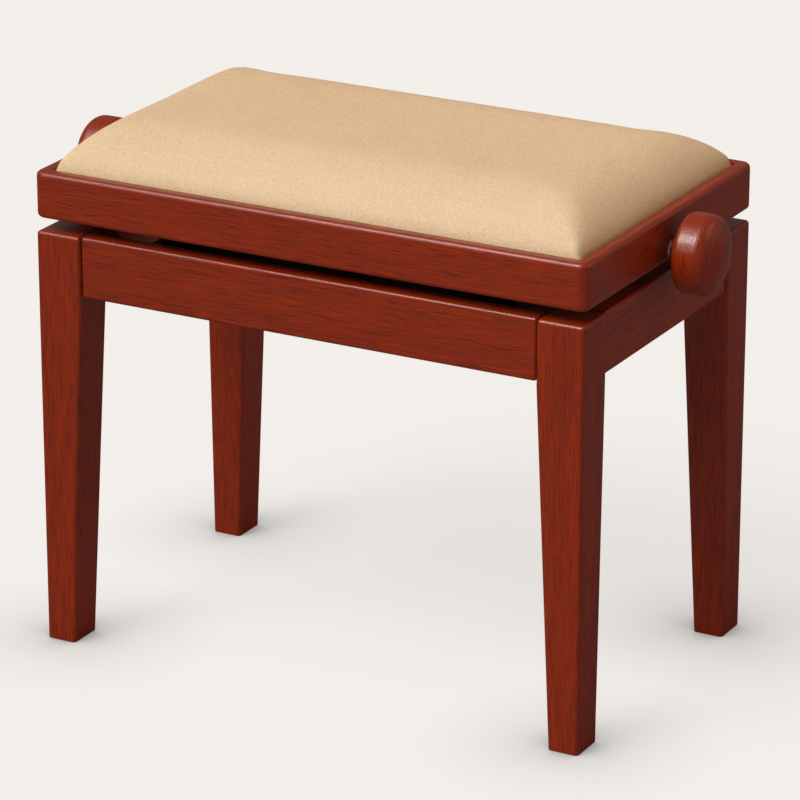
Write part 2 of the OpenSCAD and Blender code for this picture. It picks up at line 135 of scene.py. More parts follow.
def edge_wear_group():
    """A mask that is 1 on rounded edges and 0 on flat faces, broken up by fine noise."""
    tree, start, end = make_group(
        "Edge wear", [("Vector", "NodeSocketVector", None), ("Radius", "NodeSocketFloat", 0.002)],
        [("Mask", "NodeSocketFloat")])
    soft = make_node(tree, "ShaderNodeBevel", samples=4)
    tree.links.new(start.outputs["Radius"], soft.inputs["Radius"])
    hard = make_node(tree, "ShaderNodeNewGeometry")
    dot = make_node(tree, "ShaderNodeVectorMath", {0: soft.outputs[0], 1: hard.outputs["True Normal"]},
                    operation="DOT_PRODUCT")
    edge = ramp(tree, dot.outputs["Value"], 0.995, 0.90)
    broken = ramp(tree, noise(tree, start.outputs["Vector"], (90, 90, 90), 4.0), 0.35, 0.65)
    tree.links.new(math_node(tree, "MULTIPLY", edge, broken), end.inputs["Mask"])
    return tree


WOOD_GRAIN = wood_grain_group()
EDGE_WEAR = edge_wear_group()

GRAIN_TURN = {"z": (0, 0, 0), "x": (0, math.radians(90), 0), "y": (math.radians(90), 0, 0)}


def new_material(name):
    """A material, its node tree, its shader, and where on the piece a point lies."""
    material = bpy.data.materials.new(name)
    material.use_nodes = True
    tree = material.node_tree
    shader = tree.nodes["Principled BSDF"]
    position = make_node(tree, "ShaderNodeTexCoord").outputs["Object"]
    return material, tree, shader, position


def add_bump(tree, shader, height, distance, strength=1.0):
    inputs = {"Height": height, "Distance": distance, "Strength": strength}
    tree.links.new(make_node(tree, "ShaderNodeBump", inputs).outputs[0], shader.inputs["Normal"])


def grained_wood(name, along, dark, light, pore, wear, shift=0.0, fineness=1.0):
    """Wood whose grain runs along one axis; gives the material, its tree, shader and masks."""
    material, tree, shader, position = new_material(name)
    turned = make_node(tree, "ShaderNodeMapping", {
        "Vector": position, "Rotation": GRAIN_TURN[along],
        "Location": (shift, shift * 0.7, shift * 1.3)})
    grain = place_group(tree, WOOD_GRAIN, {"Vector": turned.outputs[0], "Fineness": fineness})
    edges = place_group(tree, EDGE_WEAR, {"Vector": position, "Radius": 0.0025})
    colour = mix_colours(tree, grain.outputs["Tone"], dark, light)
    pore_mask = math_node(tree, "MULTIPLY", grain.outputs["Pores"], 0.60)
    colour = mix_colours(tree, pore_mask, colour, pore)
    colour = mix_colours(tree, math_node(tree, "MULTIPLY", edges.outputs["Mask"], 0.35), colour, wear)
    tree.links.new(colour, shader.inputs["Base Color"])
    return material, tree, shader, grain


MAHOGANY_DARK = (0.145, 0.0115, 0.0008, 1)
MAHOGANY_LIGHT = (0.325, 0.0290, 0.0022, 1)
MAHOGANY_PORE = (0.100, 0.0070, 0.0006, 1)
MAHOGANY_WEAR = (0.340, 0.0330, 0.0040, 1)


def mahogany(along, shift):
    """Stained and lacquered wood; each piece takes its own shift, so no two look alike."""
    material, tree, shader, grain = grained_wood(
        f"mahogany_along_{along}_{int(shift * 100)}", along,
        MAHOGANY_DARK, MAHOGANY_LIGHT, MAHOGANY_PORE, MAHOGANY_WEAR, shift)
    tree.links.new(ramp(tree, grain.outputs["Tone"], 0.2, 0.8, 0.36, 0.28), shader.inputs["Roughness"])
    shader.inputs["Specular IOR Level"].default_value = 0.45
    shader.inputs["Coat Weight"].default_value = 0.35
    shader.inputs["Coat Roughness"].default_value = 0.16
    add_bump(tree, shader, grain.outputs["Height"], 0.00018, 0.6)
    return material


def box_mesh(low, high):
    """A bmesh box between two corners."""
    bm = bmesh.new()
    low, high = Vector(low), Vector(high)
    bmesh.ops.create_cube(bm, size=1)
    bmesh.ops.scale(bm, vec=high - low, verts=bm.verts)
    bmesh.ops.translate(bm, vec=(low + high) / 2, verts=bm.verts)
    return bm


def sharp_edges(bm, angle=math.radians(30)):
    return [e for e in bm.edges if len(e.link_faces) == 2 and e.calc_face_angle() > angle]


def round_edges(bm, edges, radius, steps=EDGE_STEPS):
    bmesh.ops.bevel(bm, geom=edges, offset=radius, segments=steps, profile=0.5, affect="EDGES",
                    clamp_overlap=True, material=-1)


def finish_piece(name, bm, material, body, slot, *nodes):
    """Writes a bmesh to a smooth-shaded piece that rides on a body and stands for CAD nodes."""
    bmesh.ops.recalc_face_normals(bm, faces=bm.faces)
    for face in bm.faces:
        face.smooth = True
    for edge in bm.edges:
        if len(edge.link_faces) == 2 and edge.calc_face_angle() > SHARP_ANGLE:
            edge.smooth = False
    mesh = bpy.data.meshes.new(name)
    bm.to_mesh(mesh)
    bm.free()
    mesh.materials.append(material)
    piece = bpy.data.objects.new(name, mesh)
    bpy.context.scene.collection.objects.link(piece)
    weighted = piece.modifiers.new("weighted normals", "WEIGHTED_NORMAL")
    weighted.keep_sharp = True
    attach(piece, body)
    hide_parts(*nodes)
    return piece


def tapered_leg(node, shift):
    """Cuts a square post under the aprons and draws its foot in on the two inner sides."""
    low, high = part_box(node)
    apron_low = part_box("apron_front")[0].z
    side_x = 1 if low.x + high.x > 0 else -1
    side_y = 1 if low.y + high.y > 0 else -1
    feet = [v.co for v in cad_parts[node].data.vertices if v.co.z < ON_LEVEL]
    foot_width = max(p.x for p in feet) - min(p.x for p in feet)
    foot_depth = max(p.y for p in feet) - min(p.y for p in feet)
    bm = box_mesh(low, high)
    bmesh.ops.bisect_plane(bm, geom=bm.verts[:] + bm.edges[:] + bm.faces[:], dist=MERGE_REACH,
                           plane_co=(0, 0, apron_low - TAPER_DROP), plane_no=(0, 0, 1))
    for v in bm.verts:
        if v.co.z < ON_LEVEL:
            if abs(v.co.x) < abs(low.x + high.x) / 2:
                v.co.x += side_x * (high.x - low.x - foot_width)
            if abs(v.co.y) < abs(low.y + high.y) / 2:
                v.co.y += side_y * (high.y - low.y - foot_depth)
    long_edges = [e for e in sharp_edges(bm, math.radians(60)) if max(v.co.z for v in e.verts) > 0.01]
    round_edges(bm, long_edges, LEG_EDGE)
    foot_edges = [e for e in sharp_edges(bm) if all(v.co.z < ON_LEVEL for v in e.verts)]
    round_edges(bm, foot_edges, FOOT_EDGE, 2)
    finish_piece(f"{node}_wood", bm, mahogany("z", shift), "base", "mahogany", node)


for place, leg_name in enumerate(("leg_front_left", "leg_front_right",
                                  "leg_back_left", "leg_back_right")):
    tapered_leg(leg_name, 0.31 + 0.83 * place)


# ------------------------------------------------------------------ aprons
# Four boards between the legs, set a little behind their faces. Their ends are rounded
# too, which leaves a narrow dark groove where each board meets a leg.

APRON_EDGE = 0.0028
APRON_JOINT = 0.0006

leg_inner = [min(abs(corner[axis]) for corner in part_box("leg_front_left")) for axis in (0, 1)]


def apron_board(node, length_axis, shift):
    """A board that reaches from leg to leg, without its hidden tenons."""
    low, high = (Vector(corner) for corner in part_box(node))
    low[length_axis] = -leg_inner[length_axis] + APRON_JOINT
    high[length_axis] = leg_inner[length_axis] - APRON_JOINT
    bm = box_mesh(low, high)
    round_edges(bm, sharp_edges(bm), APRON_EDGE)
    finish_piece(f"{node}_wood", bm, mahogany("xy"[length_axis], shift), "base", "mahogany", node)


apron_board("apron_front", 0, 0.47)
apron_board("apron_back", 0, 2.11)
apron_board("apron_left", 1, 1.29)
apron_board("apron_right", 1, 3.63)


# ------------------------------------------------------------------ corner blocks and cross battens
# Blocks glued and bolted into the corners of the base, and two wide battens that carry the
# lower rails. They are stained with the rest of the base, and their edges only broken.

BLOCK_EDGE = 0.0008


def softened_copy(node, radius, material, body, slot, steps=2, angle=30):
    """A copy of a CAD node, merged to clean faces, with its sharp edges slightly rounded."""
    bm = bmesh.new()
    bm.from_mesh(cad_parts[node].data)
    bmesh.ops.remove_doubles(bm, verts=bm.verts, dist=MERGE_REACH)
    bmesh.ops.dissolve_limit(bm, angle_limit=math.radians(1.5), verts=bm.verts, edges=bm.edges)
    round_edges(bm, sharp_edges(bm, math.radians(angle)), radius, steps)
    return finish_piece(f"{node}_piece", bm, material, body, slot, node)


softened_copy("corner_blocks", BLOCK_EDGE, mahogany("z", 8.41), "base", "mahogany")
softened_copy("cross_batten_left", BLOCK_EDGE, mahogany("y", 8.83), "base", "mahogany")
softened_copy("cross_batten_right", BLOCK_EDGE, mahogany("y", 9.27), "base", "mahogany")


# ------------------------------------------------------------------ bolts and screws of the base
# Zinc-plated steel: hex-head bolts with washers through the corner blocks, pan-head screws
# through the lower rails, and the shoulder bolts of the two fixed lower pivots.

FASTENER_EDGE = 0.0005
FASTENER_ANGLE = 40


def metal(name, dark, light, low_rough, high_rough, scale):
    """Metal with a cloudy finish and brighter worn edges; gives its scratches for the relief."""
    material, tree, shader, position = new_material(name)
    cloud = ramp(tree, noise(tree, position, (scale, scale, scale), 4.0), 0.3, 0.7)
    scratch = ramp(tree, noise(tree, position, (scale * 9, scale, scale * 14), 2.0), 0.3, 0.7)
    edges = place_group(tree, EDGE_WEAR, {"Vector": position, "Radius": 0.0008})
    colour = mix_colours(tree, cloud, dark, light)
    worn = math_node(tree, "MULTIPLY", edges.outputs["Mask"], 0.5)
    colour = mix_colours(tree, worn, colour, (0.80, 0.79, 0.77, 1))
    tree.links.new(colour, shader.inputs["Base Color"])
    tree.links.new(ramp(tree, scratch, 0, 1, low_rough, high_rough), shader.inputs["Roughness"])
    return material, tree, shader, worn, scratch


zinc, zinc_tree, zinc_shader, _, zinc_scratch = metal(
    "zinc_plating", (0.42, 0.42, 0.40, 1), (0.64, 0.63, 0.58, 1), 0.22, 0.42, 60)
zinc_shader.inputs["Metallic"].default_value = 1.0
add_bump(zinc_tree, zinc_shader, zinc_scratch, 0.00004)

for fastener in ("corner_bolts", "lower_rail_screws", "lower_pivot_bolts"):
    softened_copy(fastener, FASTENER_EDGE, zinc, "base", "zinc_hardware", 2, FASTENER_ANGLE)


# ------------------------------------------------------------------ lower rails
# Two steel angles screwed to the battens, pressed from 3 mm sheet and powder coated
# satin black. Each has a pivot hole at the left and a slot at the right.

RAIL_EDGE = 0.0005
PRESSED_ANGLE = 60

powder, powder_tree, powder_shader, powder_worn, _ = metal(
    "black_powder_coat", (0.012, 0.012, 0.013, 1), (0.020, 0.020, 0.021, 1), 0.34, 0.52, 90)
powder_position = make_node(powder_tree, "ShaderNodeTexCoord").outputs["Object"]
powder_orange_peel = noise(powder_tree, powder_position, (900, 900, 900), 2.0)
add_bump(powder_tree, powder_shader, powder_orange_peel, 0.00008, 0.5)
powder_bare = ramp(powder_tree, powder_worn, 0.2, 0.5, 0.0, 0.8)
powder_tree.links.new(powder_bare, powder_shader.inputs["Metallic"])

for rail in ("lower_rail_front", "lower_rail_back"):
    softened_copy(rail, RAIL_EDGE, powder, "base", "scissor_steel", 2, PRESSED_ANGLE)


# ------------------------------------------------------------------ scissor
# Two crossed pairs of flat steel arms. The inner pair is tied by a tube, the outer pair by
# the sliding shaft; zinc rivets join them, and nylon bushes slide in the rails' slots.

ARM_EDGE = 0.0004
BUSH_EDGE = 0.0003

nylon, nylon_tree, nylon_shader, nylon_position = new_material("natural_nylon")
nylon_cloud = ramp(nylon_tree, noise(nylon_tree, nylon_position, (120, 120, 120), 3.0), 0.3, 0.7)
nylon_tree.links.new(mix_colours(nylon_tree, nylon_cloud, (0.70, 0.67, 0.58, 1), (0.80, 0.78, 0.70, 1)),
                     nylon_shader.inputs["Base Color"])
nylon_tree.links.new(ramp(nylon_tree, nylon_cloud, 0, 1, 0.38, 0.5), nylon_shader.inputs["Roughness"])
nylon_shader.inputs["Subsurface Weight"].default_value = 0.1
nylon_shader.inputs["Subsurface Scale"].default_value = 0.002
add_bump(nylon_tree, nylon_shader, nylon_cloud, 0.00005)

for arm in ("inner_arm_front", "inner_arm_back", "arm_tie"):
    softened_copy(arm, ARM_EDGE, powder, "inner_arms", "scissor_steel", 2, PRESSED_ANGLE)
for arm in ("outer_arm_front", "outer_arm_back"):
    softened_copy(arm, ARM_EDGE, powder, "outer_arms", "scissor_steel", 2, PRESSED_ANGLE)
softened_copy("centre_rivets", 0.0008, zinc, "inner_arms", "zinc_hardware", 3, FASTENER_ANGLE)
softened_copy("lower_slide_shaft", 0.0005, zinc, "outer_arms", "zinc_hardware", 2, PRESSED_ANGLE)
softened_copy("lower_slide_bushes", BUSH_EDGE, nylon, "outer_arms", "nylon", 2, PRESSED_ANGLE)
softened_copy("cross_nut", 0.0006, zinc, "sliding_nut", "zinc_hardware", 2, PRESSED_ANGLE)
softened_copy("upper_slide_bushes", BUSH_EDGE, nylon, "sliding_nut", "nylon", 2, PRESSED_ANGLE)


# ------------------------------------------------------------------ seat frame
# Four mitred rails glued into one lacquered frame with round corners and softly rounded
# edges. A ledge inside carries the seat board and leaves a narrow lip round the cushion.

SEAT_CORNER = 0.0100
SEAT_EDGE = 0.0046
LIP_EDGE = 0.0010
CORNER_STEPS = 8
RIM_STEPS = 6
CUSHION_GAP = 0.001

frame_low = Vector((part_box("seat_rail_left")[0].x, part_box("seat_rail_front")[0].y,
                    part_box("seat_rail_front")[0].z))
frame_high = Vector((-frame_low.x, -frame_low.y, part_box("seat_rail_front")[1].z))
rail_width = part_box("seat_rail_front")[1].y - frame_low.y
ledge_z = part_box("seat_board")[0].z
cover_low, cover_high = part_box("seat_cover")
lip_width = frame_high.x - cover_high.x - CUSHION_GAP


def is_level(edge):
    return abs(edge.verts[0].co.z - edge.verts[1].co.z) < MERGE_REACH


def carry_loop(bm, edges, half_x, half_y, level):
    """Extrudes an edge loop towards a rectangle at a level; gives the new loop's edges."""
    made = bmesh.ops.extrude_edge_only(bm, edges=edges)["geom"]
    verts = [part for part in made if isinstance(part, bmesh.types.BMVert)]
    for v in verts:
        v.co = (max(-half_x, min(half_x, v.co.x)), max(-half_y, min(half_y, v.co.y)), level)
    bmesh.ops.remove_doubles(bm, verts=verts, dist=MERGE_REACH)
    kept = {v for v in verts if v.is_valid}
    return [e for e in bm.edges if all(v in kept for v in e.verts)]


def open_flat_face(bm, level):
    """Takes out the flat face at a level and gives its rim."""
    face = max((f for f in bm.faces if abs(f.calc_center_median().z - level) < ON_LEVEL),
               key=lambda f: f.calc_area())
    rim = face.edges[:]
    bmesh.ops.delete(bm, geom=[face], context="FACES_ONLY")
    return rim


def seat_frame_ring():
    """The whole frame before it is cut at the mitres, with its lip, ledge and open middle."""
    bm = box_mesh(frame_low, frame_high)
    round_edges(bm, [e for e in bm.edges if not is_level(e)], SEAT_CORNER, CORNER_STEPS)
    round_edges(bm, [e for e in bm.edges if is_level(e)], SEAT_EDGE, RIM_STEPS)
    lip_x, lip_y = frame_high.x - lip_width, frame_high.y - lip_width
    inner_x, inner_y = frame_high.x - rail_width, frame_high.y - rail_width
    top_rim = open_flat_face(bm, frame_high.z)
    bottom_rim = open_flat_face(bm, frame_low.z)
    lip = carry_loop(bm, top_rim, lip_x, lip_y, frame_high.z)
    ledge = carry_loop(bm, lip, lip_x, lip_y, ledge_z)
    well = carry_loop(bm, ledge, inner_x, inner_y, ledge_z)
    carry_loop(bm, well, inner_x, inner_y, frame_low.z)
    carry_loop(bm, bottom_rim, inner_x, inner_y, frame_low.z)
    bmesh.ops.remove_doubles(bm, verts=bm.verts, dist=MERGE_REACH)
    bmesh.ops.recalc_face_normals(bm, faces=bm.faces)
    inner_rims = [e for e in sharp_edges(bm, math.radians(60)) if is_level(e)
                  and (e.verts[0].co.z > frame_high.z - ON_LEVEL
                       or e.verts[0].co.z < frame_low.z + ON_LEVEL)]
    round_edges(bm, inner_rims, LIP_EDGE, 2)
    return bm


def mitred_rail(ring, node, side_x, side_y, along, shift):
    """Keeps the part of the ring between two mitres; one of side_x and side_y is 0."""
    bm = ring.copy()
    for turn in (-1, 1):
        corner_x = side_x or turn
        corner_y = side_y or turn
        away = Vector((corner_x, -corner_y, 0)) if side_y else Vector((-corner_x, corner_y, 0))
        cut = bmesh.ops.bisect_plane(
            bm, geom=bm.verts[:] + bm.edges[:] + bm.faces[:], dist=1e-7,
            plane_co=(corner_x * frame_high.x, corner_y * frame_high.y, 0),
            plane_no=away.normalized(), clear_outer=True)["geom_cut"]
        cut_edges = [part for part in cut if isinstance(part, bmesh.types.BMEdge)]
        bmesh.ops.edgeloop_fill(bm, edges=cut_edges)
    finish_piece(f"{node}_wood", bm, mahogany(along, shift), "seat", "mahogany", node)


seat_ring = seat_frame_ring()
mitred_rail(seat_ring, "seat_rail_front", 0, -1, "x", 4.07)
mitred_rail(seat_ring, "seat_rail_back", 0, 1, "x", 4.91)
mitred_rail(seat_ring, "seat_rail_left", -1, 0, "y", 5.33)
mitred_rail(seat_ring, "seat_rail_right", 1, 0, "y", 6.17)
seat_ring.free()


# ------------------------------------------------------------------ seat corner blocks and seat board
# Beech blocks glued into the corners of the frame, and the birch plywood board that is
# screwed down to them. The board's plies show as thin lines along its edge.

PLY_COUNT = 7
BOARD_EDGE = 0.0006

beech, beech_tree, beech_shader, beech_grain = grained_wood(
    "plain_beech", "z", (0.36, 0.215, 0.115, 1), (0.56, 0.375, 0.225, 1),
    (0.26, 0.14, 0.07, 1), (0.60, 0.43, 0.28, 1), 0.9, 1.4)
beech_shader.inputs["Roughness"].default_value = 0.62
add_bump(beech_tree, beech_shader, beech_grain.outputs["Height"], 0.0002, 0.8)
softened_copy("seat_corner_blocks", BLOCK_EDGE, beech, "seat", "plain_wood")

board_low, board_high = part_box("seat_board")
ply, ply_tree, ply_shader, ply_grain = grained_wood(
    "birch_plywood", "x", (0.47, 0.32, 0.19, 1), (0.64, 0.48, 0.31, 1),
    (0.38, 0.24, 0.13, 1), (0.66, 0.52, 0.36, 1), 1.7, 0.5)
ply_position = make_node(ply_tree, "ShaderNodeTexCoord").outputs["Object"]
ply_height = make_node(ply_tree, "ShaderNodeSeparateXYZ", {0: ply_position}).outputs["Z"]
ply_share = ramp(ply_tree, ply_height, board_low.z, board_high.z, 0.0, PLY_COUNT / 2)
ply_line = ramp(ply_tree, math_node(ply_tree, "PINGPONG", ply_share, 0.5), 0.2, 0.3)
ply_facing = make_node(ply_tree, "ShaderNodeNewGeometry").outputs["True Normal"]
ply_side = make_node(ply_tree, "ShaderNodeSeparateXYZ", {0: ply_facing}).outputs["Z"]
ply_side = ramp(ply_tree, math_node(ply_tree, "ABSOLUTE", ply_side, 0.0), 0.5, 0.2)
ply_mask = math_node(ply_tree, "MULTIPLY", ply_line, ply_side)
ply_mask = math_node(ply_tree, "MULTIPLY", ply_mask, 0.6)
ply_plain = ply_shader.inputs["Base Color"].links[0].from_socket
ply_tree.links.new(mix_colours(ply_tree, ply_mask, ply_plain, (0.27, 0.155, 0.075, 1)),
                   ply_shader.inputs["Base Color"])
ply_shader.inputs["Roughness"].default_value = 0.66
add_bump(ply_tree, ply_shader, ply_grain.outputs["Height"], 0.0002, 0.7)
softened_copy("seat_board", BOARD_EDGE, ply, "seat", "plywood", 2, 60)
softened_copy("seat_board_screws", FASTENER_EDGE, zinc, "seat", "zinc_hardware", 2, FASTENER_ANGLE)


# ------------------------------------------------------------------ upper rails
# Two black steel angles screwed up to the seat board. Each has a pivot hole at the left,
# where the outer arms turn on a shoulder bolt, and a slot at the right.

for rail in ("upper_rail_front", "upper_rail_back"):
    softened_copy(rail, RAIL_EDGE, powder, "seat", "scissor_steel", 2, PRESSED_ANGLE)
for fastener in ("upper_rail_screws", "upper_pivot_bolts"):
    softened_copy(fastener, FASTENER_EDGE, zinc, "seat", "zinc_hardware", 2, FASTENER_ANGLE)


# ------------------------------------------------------------------ foam pad
# A block of open-cell foam, cut with a crowned top and glued to the seat board. The cover
# hides it, so it is only smoothed and pitted.

GRID_STEP = 0.005
CROWN_POWER = 3.2       # how soon a slope levels out
SIDE_RISE = 0.125
END_RISE = 0.076
UPRIGHT_EDGE = 0.009
HIP_SHARPNESS = 3.5     # how clearly two slopes meet at a corner
CROWN_SLACK = 0.011
SKIRT_STEPS = 3
FOAM_INSET = 0.004      # the foam stays this far under the cover
ON_BOARD = 0.001

foam_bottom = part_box("foam_pad")[0].z

foam, foam_tree, foam_shader, foam_position = new_material("open_cell_foam")
foam_cells = make_node(foam_tree, "ShaderNodeTexVoronoi", {"Vector": foam_position, "Scale": 420.0})
foam_pit_depth_and_shade = ramp(foam_tree, foam_cells.outputs["Distance"], 0.0, 0.7)
# Painted shade: each foam cell is coloured darker towards its sunken middle, where shade falls. The
# same value also sinks the cell in the relief and sets its roughness.
foam_tree.links.new(mix_colours(foam_tree, foam_pit_depth_and_shade, (0.80, 0.70, 0.38, 1), (0.90, 0.82, 0.52, 1)),
                    foam_shader.inputs["Base Color"])
foam_tree.links.new(ramp(foam_tree, foam_pit_depth_and_shade, 0, 1, 0.95, 0.85), foam_shader.inputs["Roughness"])
add_bump(foam_tree, foam_shader, foam_pit_depth_and_shade, 0.0006)


def crowned_form(name, inset):
    """An upright edge, four slopes and a flat crown, open below; inset makes it smaller."""
    long_half, short_half = cover_high.x - inset, cover_high.y - inset
    edge_z = frame_high.z + UPRIGHT_EDGE - inset
    crown = cover_high.z - CROWN_SLACK - inset - edge_z
    bm = bmesh.new()
    bmesh.ops.create_grid(bm, x_segments=round(2 * long_half / GRID_STEP),
                          y_segments=round(2 * short_half / GRID_STEP), size=1)
    bmesh.ops.scale(bm, vec=(long_half, short_half, 1), verts=bm.verts)
    for v in bm.verts:
        share = 0.0
        for edge_distance, rise in ((long_half - abs(v.co.x), END_RISE),
                                    (short_half - abs(v.co.y), SIDE_RISE)):
            slope = 1 - (1 - min(edge_distance / rise, 1)) ** CROWN_POWER
            share += max(slope, 0.001) ** -HIP_SHARPNESS
        v.co.z = edge_z + crown * (share / 2) ** (-1 / HIP_SHARPNESS)
    rim = [e for e in bm.edges if e.is_boundary]
    for _ in range(SKIRT_STEPS):
        made = bmesh.ops.extrude_edge_only(bm, edges=rim)["geom"]
        verts = {part for part in made if isinstance(part, bmesh.types.BMVert)}
        bmesh.ops.translate(bm, vec=(0, 0, (foam_bottom - edge_z) / SKIRT_STEPS), verts=list(verts))
        rim = [part for part in made if isinstance(part, bmesh.types.BMEdge)
               and all(v in verts for v in part.verts)]
    bmesh.ops.recalc_face_normals(bm, faces=bm.faces)
    mesh = bpy.data.meshes.new(name)
    bm.to_mesh(mesh)
    bm.free()
    piece = bpy.data.objects.new(name, mesh)
    bpy.context.scene.collection.objects.link(piece)
    return piece


def close_below(piece):
    """Fills the opening under a crowned form with one flat face."""
    bm = bmesh.new()
    bm.from_mesh(piece.data)
    bmesh.ops.edgeloop_fill(bm, edges=[e for e in bm.edges if e.is_boundary])
    bmesh.ops.recalc_face_normals(bm, faces=bm.faces)
    bm.to_mesh(piece.data)
    bm.free()


def smooth_surface(piece, rounds, factor, keep_low):
    """Evens out a skin, except below a level, where it lies on the board."""
    bm = bmesh.new()
    bm.from_mesh(piece.data)
    free = [v for v in bm.verts if v.co.z > keep_low]
    for _ in range(rounds):
        bmesh.ops.smooth_vert(bm, verts=free, factor=factor, use_axis_x=True, use_axis_y=True,
                              use_axis_z=True)
    for face in bm.faces:
        face.smooth = True
    bm.to_mesh(piece.data)
    bm.free()


foam_core = crowned_form("foam_pad_core", FOAM_INSET)
smooth_surface(foam_core, 4, 0.5, foam_bottom + ON_BOARD)
close_below(foam_core)
foam_core.data.materials.append(foam)
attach(foam_core, "seat")
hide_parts("foam_pad")


# ------------------------------------------------------------------ seat cover
# Beige velour pulled tight over the foam and stapled under the board. Pressure in a short
# cloth run gives the skin its tension: full in the middle, drawn in along the edges.

VELOUR_DEEP = (0.53, 0.385, 0.228, 1)
VELOUR_PALE = (0.89, 0.735, 0.510, 1)
VELOUR_BRUSHED = (0.80, 0.665, 0.455, 1)
PRESSURE = 4.0
SKIN_SWELL = 0.002
PIN_HEIGHT = 0.004

velour, velour_tree, velour_shader, velour_position = new_material("beige_velour")


def velour_nap_group():
    """Short pile: fine mottling, soft brushed patches, and the height of the tufts."""
    tree, start, end = make_group(
        "Velour nap", [("Vector", "NodeSocketVector", None)],
        [("Tone", "NodeSocketFloat"), ("Brushed", "NodeSocketFloat"), ("Height", "NodeSocketFloat")])
    vector = start.outputs["Vector"]
    mottle = ramp(tree, noise(tree, vector, (420, 420, 420), 3.0, 0.65), 0.25, 0.75)
    tufts = ramp(tree, noise(tree, vector, (1100, 1100, 1100), 2.0, 0.6), 0.25, 0.75)
    brushed = ramp(tree, noise(tree, vector, (16, 9, 16), 3.0, 0.5, 0.4), 0.3, 0.7)
    tree.links.new(math_node(tree, "MULTIPLY", math_node(tree, "ADD", mottle, tufts), 0.5),
                   end.inputs["Tone"])
    tree.links.new(brushed, end.inputs["Brushed"])
    tree.links.new(tufts, end.inputs["Height"])
    return tree


nap = place_group(velour_tree, velour_nap_group(), {"Vector": velour_position})
velour_base = mix_colours(velour_tree, nap.outputs["Tone"], VELOUR_DEEP, VELOUR_PALE)
velour_soft = math_node(velour_tree, "MULTIPLY", nap.outputs["Brushed"], 0.25)
velour_tree.links.new(mix_colours(velour_tree, velour_soft, velour_base, VELOUR_BRUSHED),
                      velour_shader.inputs["Base Color"])
velour_tree.links.new(ramp(velour_tree, nap.outputs["Tone"], 0, 1, 0.95, 0.82),
                      velour_shader.inputs["Roughness"])
velour_shader.inputs["Specular IOR Level"].default_value = 0.10
velour_shader.inputs["Sheen Weight"].default_value = 0.06
velour_shader.inputs["Sheen Roughness"].default_value = 0.45
velour_shader.inputs["Sheen Tint"].default_value = (1.0, 0.82, 0.60, 1)
add_bump(velour_tree, velour_shader, nap.outputs["Height"], 0.0007, 0.7)


def apply_modifiers(piece):
    """Keeps the shape that the modifiers give and takes them off."""
    shaped = piece.evaluated_get(bpy.context.evaluated_depsgraph_get())
    mesh = bpy.data.meshes.new_from_object(shaped)
    piece.modifiers.clear()
    piece.data = mesh


def pull_tight(piece, pressure, most, pin_below):
    """A short cloth run under pressure; no point ends up further than a set distance away."""
    before = [v.co.copy() for v in piece.data.vertices]
    pinned = piece.vertex_groups.new(name="pinned")
    pinned.add([i for i, p in enumerate(before) if p.z < pin_below], 1.0, "REPLACE")
    cloth = piece.modifiers.new("cloth", "CLOTH")
    cloth.settings.quality = 6
    cloth.settings.mass = 0.3
    cloth.settings.tension_stiffness = 25
    cloth.settings.compression_stiffness = 25
    cloth.settings.bending_stiffness = 2
    cloth.settings.use_pressure = True
    cloth.settings.uniform_pressure_force = pressure
    cloth.settings.effector_weights.gravity = 0
    cloth.settings.vertex_group_mass = "pinned"
    cloth.point_cache.frame_start = 1
    cloth.point_cache.frame_end = 20
    for step in range(1, 21):
        bpy.context.scene.frame_set(step)
    apply_modifiers(piece)
    bpy.context.scene.frame_set(1)
    for v, start in zip(piece.data.vertices, before):
        moved = v.co - start
        if moved.length > most:
            v.co = start + moved.normalized() * most
    piece.vertex_groups.clear()


cover = crowned_form("seat_cover_skin", 0.0)
pull_tight(cover, PRESSURE, SKIN_SWELL, frame_high.z + PIN_HEIGHT)
smooth_surface(cover, 8, 0.5, foam_bottom + ON_BOARD)
cover.data.materials.append(velour)
for v in cover.data.vertices:
    v.co.x = max(cover_low.x, min(cover_high.x, v.co.x))
    v.co.y = max(cover_low.y, min(cover_high.y, v.co.y))
    v.co.z = max(foam_bottom, v.co.z)
finer = cover.modifiers.new("finer skin", "SUBSURF")
finer.levels = 1
finer.render_levels = 1
apply_modifiers(cover)
close_below(cover)
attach(cover, "seat")
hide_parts("seat_cover")


# ------------------------------------------------------------------ spindle
# A zinc-plated steel rod along the bench with a rolled trapezoidal thread where it runs
# through the nut. It turns in flanged nylon bushes, held endwise by two clamped collars.

THREAD_PITCH = 0.003
THREAD_DEPTH = 0.0012
THREAD_STEPS = 24
THREAD_START = 0.078
THREAD_TURNS = 42
THREAD_FLANK = 0.0006
THREAD_CREST = 0.0010
THREAD_SUNK = 0.0004    # the ridge starts this far inside the rod
THREAD_PLAY = 0.00005
SPINDLE_SIDES = 48
END_CHAMFER = 0.001

spindle_low, spindle_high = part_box("spindle")
spindle_r = (spindle_high.z - spindle_low.z) / 2
spindle_z = (spindle_high.z + spindle_low.z) / 2
thread_root = spindle_r - THREAD_DEPTH
thread_end = THREAD_START + THREAD_TURNS * THREAD_PITCH


def turned_on_x(bm, outline, axis_z, steps):
    """Spins an outline of (x, radius) points round a line along X."""
    verts = [bm.verts.new((x, 0, axis_z + radius)) for x, radius in outline]
    edges = [bm.edges.new(pair) for pair in zip(verts, verts[1:])]
    bmesh.ops.spin(bm, geom=verts + edges, cent=(0, 0, axis_z), axis=(1, 0, 0),
                   angle=2 * math.pi, steps=steps, use_merge=True)
    bmesh.ops.remove_doubles(bm, verts=bm.verts, dist=MERGE_REACH)


